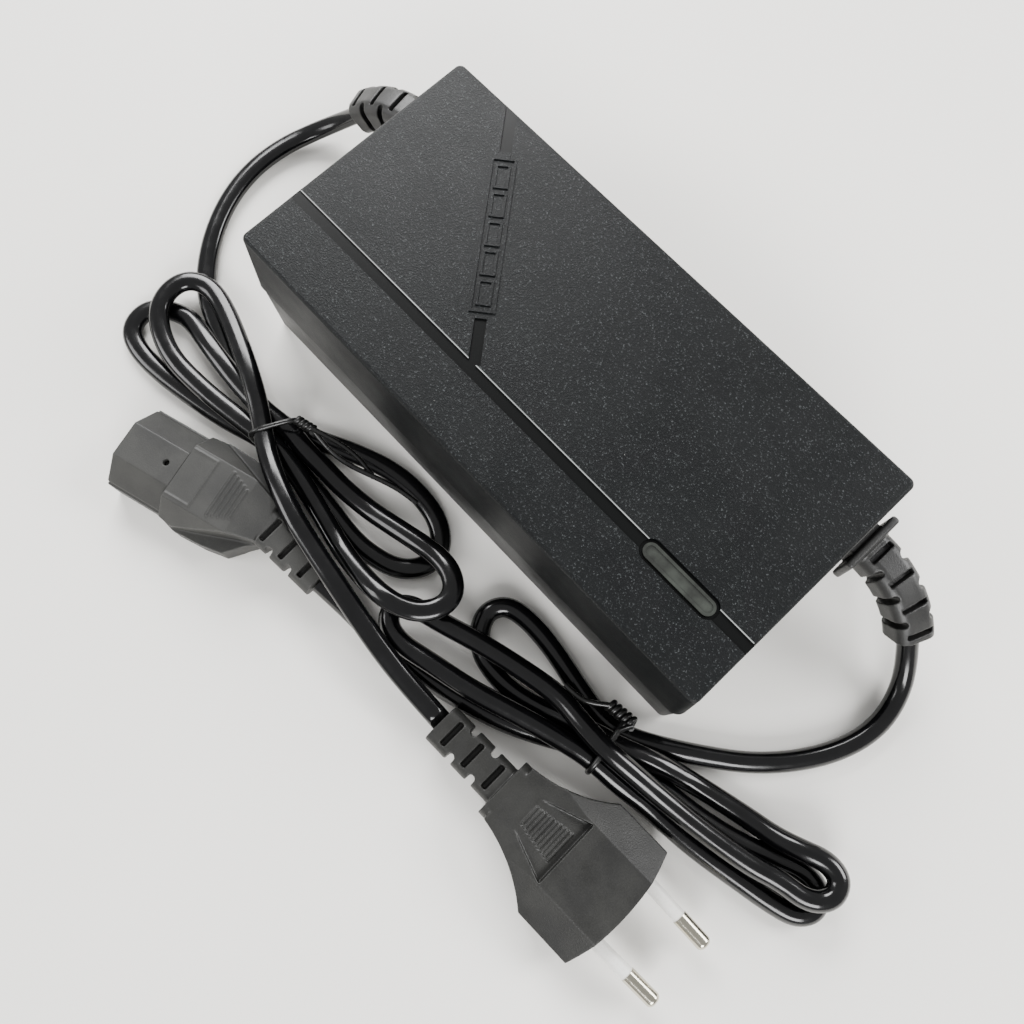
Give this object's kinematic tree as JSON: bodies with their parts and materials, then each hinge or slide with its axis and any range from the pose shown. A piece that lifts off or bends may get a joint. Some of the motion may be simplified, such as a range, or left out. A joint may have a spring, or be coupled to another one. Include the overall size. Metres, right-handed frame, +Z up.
{
  "type": "battery charger",
  "caption": "Sealed black brick battery charger with an indicator window, moulded strain reliefs, a tied mains cord with a flat two-pin plug and a tied output cord with a line socket.",
  "frame": {"origin": "centre of the case's underside, on the surface it stands on", "axes": "+X along the case towards the output cord's end, +Y across the case away from the tied cords, +Z up"},
  "size_m": [0.2592, 0.139, 0.0463],
  "materials": {
    "case_plastic": "black moulded plastic with a fine spark-eroded grain",
    "relief_plastic": "black flexible moulded plastic, satin",
    "cord_sheath": "black extruded PVC sheath, glossy",
    "plug_plastic": "black moulded PVC, satin-gloss",
    "tie_plastic": "black plastic-coated wire",
    "window_plastic": "clear moulded plastic light guide with a dull back",
    "screw_steel": "zinc-plated steel",
    "pin_nickel": "nickel-plated brass",
    "pin_sleeve": "white nylon insulation",
    "contact_brass": "tin-brass spring contact",
    "board_laminate": "green glass-epoxy laminate",
    "fuse_glass": "glass tube with nickel end caps",
    "clip_metal": "tin-plated spring clip",
    "disc_green": "dark green epoxy coating",
    "disc_blue": "blue epoxy coating",
    "ferrite": "grey-black sintered ferrite",
    "enamelled_copper": "enamelled copper wire",
    "box_yellow": "yellow potted box",
    "package_black": "black epoxy package",
    "can_sleeve": "dark shrink sleeve over an aluminium can",
    "heatsink_metal": "extruded aluminium",
    "bobbin_plastic": "black glass-filled nylon",
    "coil_tape": "yellow polyester tape over the coil",
    "pin_tinned": "tinned wire",
    "trimmer_blue": "blue moulded plastic",
    "rotor_white": "white moulded plastic",
    "lamp_green": "green tinted epoxy lamp",
    "lamp_red": "red tinted epoxy lamp",
    "resistor_coat": "beige lacquer",
    "wire_brown": "brown insulated wire",
    "wire_blue": "blue insulated wire",
    "wire_red": "red insulated wire",
    "wire_black": "black insulated wire"
  },
  "bodies": {
    "charger": {"top_cover": "case_plastic", "bottom_case": "case_plastic", "light_window": "window_plastic", "case_screws": "screw_steel", "circuit_board": "board_laminate", "board_screws": "screw_steel", "fuse": "fuse_glass", "fuse_clips": "clip_metal", "inrush_thermistor": "disc_green", "choke_core": "ferrite", "choke_windings": "enamelled_copper", "x_capacitor": "box_yellow", "bridge_rectifier": "package_black", "bulk_capacitor": "can_sleeve", "primary_heatsink": "heatsink_metal", "switching_transistor": "package_black", "transistor_screws": "screw_steel", "transformer_core": "ferrite", "transformer_bobbin": "bobbin_plastic", "transformer_winding": "coil_tape", "transformer_pins": "pin_tinned", "y_capacitor": "disc_blue", "optocoupler": "package_black", "control_chip": "package_black", "secondary_heatsink": "heatsink_metal", "output_rectifier": "package_black", "output_capacitors": "can_sleeve", "trimmer_body": "trimmer_blue", "power_led": "lamp_red", "charge_led": "lamp_green", "resistors": "resistor_coat", "live_wire": "wire_brown", "neutral_wire": "wire_blue", "positive_wire": "wire_red", "negative_wire": "wire_black", "mains_strain_relief": "relief_plastic", "output_strain_relief": "relief_plastic", "mains_cord_lead": "cord_sheath", "mains_cord_hank": "cord_sheath", "mains_cord_tail": "cord_sheath", "output_cord_lead": "cord_sheath", "output_cord_hank": "cord_sheath", "output_cord_tail": "cord_sheath", "mains_twist_tie": "tie_plastic", "output_twist_tie": "tie_plastic", "mains_plug_body": "plug_plastic", "plug_pins": "pin_nickel", "plug_pin_sleeves": "pin_sleeve", "connector_insert": "plug_plastic", "connector_overmould": "plug_plastic", "connector_contacts": "contact_brass"},
    "trimmer_rotor": {"trimmer_rotor": "rotor_white"}
  },
  "joints": [
    {"name": "trimmer_turn", "type": "hinge", "parent": "charger", "child": "trimmer_rotor", "pos_m": [0.066, -0.006, 0.014], "axis": [0, 0, 1], "range_deg": [-105, 105]}
  ]
}
